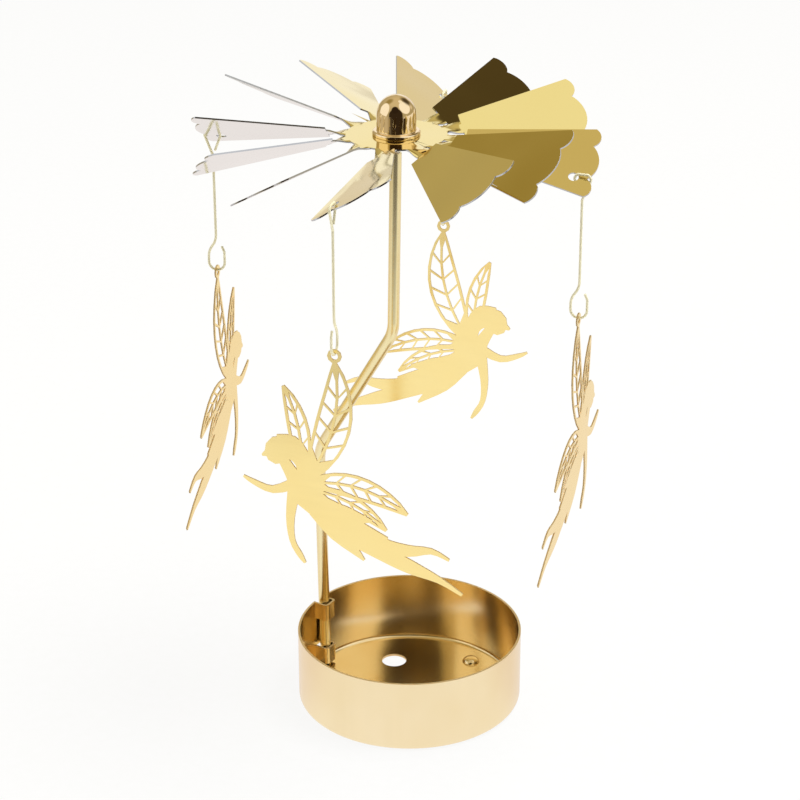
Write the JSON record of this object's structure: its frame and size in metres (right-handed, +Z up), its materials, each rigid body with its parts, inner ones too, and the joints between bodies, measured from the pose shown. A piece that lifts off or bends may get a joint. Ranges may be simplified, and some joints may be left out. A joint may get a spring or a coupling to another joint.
{
  "type": "rotating candle holder",
  "caption": "Tealight holder with a round metal tray, a bent tube post and a bladed wheel that turns in the rising warm air, hung with flat winged figures on wire hooks.",
  "frame": {"origin": "middle of the tray's flat underside", "axes": "+Z up along the tray's axis, +Y away from the viewer of the picture, +X to the viewer's right"},
  "size_m": [0.1065, 0.1094, 0.1684],
  "materials": {
    "tray_gold": "satin gold-coloured plating",
    "post_gold": "bright gold-coloured plating",
    "needle_steel": "ground steel",
    "wheel_gold": "mirror gold-coloured plating above, plain silver-coloured underneath",
    "cap_gold": "polished gold-coloured plating",
    "wire_gold": "drawn wire, gold-coloured plating",
    "figure_gold": "bright gold-coloured plating"
  },
  "bodies": {
    "stand": {"tray": "tray_gold", "post_tube": "post_gold", "pivot_needle": "needle_steel"},
    "rotor": {"rotor_wheel": "wheel_gold", "hub_cap": "cap_gold"},
    "hook_1": {"hanger_hook_1": "wire_gold"},
    "figure_1": {"winged_figure_1": "figure_gold"},
    "hook_2": {"hanger_hook_2": "wire_gold"},
    "figure_2": {"winged_figure_2": "figure_gold"},
    "hook_3": {"hanger_hook_3": "wire_gold"},
    "figure_3": {"winged_figure_3": "figure_gold"},
    "hook_4": {"hanger_hook_4": "wire_gold"},
    "figure_4": {"winged_figure_4": "figure_gold"}
  },
  "joints": [
    {"name": "rotor_spin", "type": "hinge", "parent": "stand", "child": "rotor", "pos_m": [-0.0032, 0, 0.1658], "axis": [0, 0, 1], "continuous": true},
    {"name": "hook_1_swing", "type": "hinge", "parent": "rotor", "child": "hook_1", "pos_m": [-0.04935, 0.01091, 0.15475], "axis": [0.2301, 0.9732, 0], "range_deg": [-10, 20]},
    {"name": "figure_1_swing", "type": "hinge", "parent": "hook_1", "child": "figure_1", "pos_m": [-0.04935, 0.01091, 0.11875], "axis": [-0.9732, 0.2301, 0], "range_deg": [-15, 15]},
    {"name": "hook_2_swing", "type": "hinge", "parent": "rotor", "child": "hook_2", "pos_m": [-0.01759, -0.04519, 0.15471], "axis": [-0.9529, 0.3034, 0], "range_deg": [-10, 20]},
    {"name": "figure_2_swing", "type": "hinge", "parent": "hook_2", "child": "figure_2", "pos_m": [-0.01759, -0.04519, 0.11871], "axis": [-0.3034, -0.9529, 0], "range_deg": [-15, 15]},
    {"name": "hook_3_swing", "type": "hinge", "parent": "rotor", "child": "hook_3", "pos_m": [0.04172, -0.01522, 0.15187], "axis": [-0.3209, -0.9471, 0], "range_deg": [-10, 20]},
    {"name": "figure_3_swing", "type": "hinge", "parent": "hook_3", "child": "figure_3", "pos_m": [0.04172, -0.01522, 0.11587], "axis": [0.9471, -0.3209, 0], "range_deg": [-15, 15]},
    {"name": "hook_4_swing", "type": "hinge", "parent": "rotor", "child": "hook_4", "pos_m": [0.00922, 0.04574, 0.15473], "axis": [0.9651, -0.262, 0], "range_deg": [-10, 20]},
    {"name": "figure_4_swing", "type": "hinge", "parent": "hook_4", "child": "figure_4", "pos_m": [0.00922, 0.04574, 0.11873], "axis": [0.262, 0.9651, 0], "range_deg": [-15, 15]}
  ]
}
